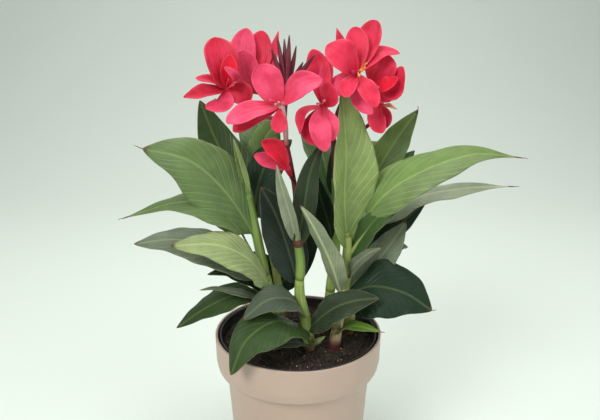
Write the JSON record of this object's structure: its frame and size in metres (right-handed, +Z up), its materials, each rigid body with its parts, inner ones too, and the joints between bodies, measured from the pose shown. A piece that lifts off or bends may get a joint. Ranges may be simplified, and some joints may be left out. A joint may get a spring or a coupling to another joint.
{
  "type": "potted canna lily plant",
  "caption": "Dwarf canna lily in bloom: leafy stems with broad veined leaves and spikes of coral-pink flowers, in a plain round cover pot with an inner grower's pot.",
  "frame": {"origin": "centre of the cover pot's foot, on the surface it stands on", "axes": "+Z up along the pot's axis, +X to the right and +Y away from someone who faces the plant's front"},
  "size_m": [0.4734, 0.2811, 0.5934],
  "materials": {
    "cover": "satin beige",
    "grower": "matt black",
    "soil": "loose moist peat",
    "leaf": "satin leaf with a pale midrib",
    "spike": "satin maroon",
    "petal": "soft coral-pink petal"
  },
  "bodies": {
    "root": {"cover_pot": "cover", "grower_pot": "grower", "soil": "soil", "stem_flowering": "leaf", "stem_right": "leaf", "stem_left": "leaf", "stem_front_left": "leaf", "stem_second_spike": "leaf", "stem_back_left": "leaf", "stem_back_right": "leaf", "spike_left": "spike", "spike_right": "spike", "bloom_left": "petal", "bloom_back": "petal", "bloom_front": "petal", "bloom_low": "petal", "bloom_right": "petal", "bloom_far": "petal", "bloom_centre": "petal", "bloom_side": "petal"}
  },
  "joints": []
}
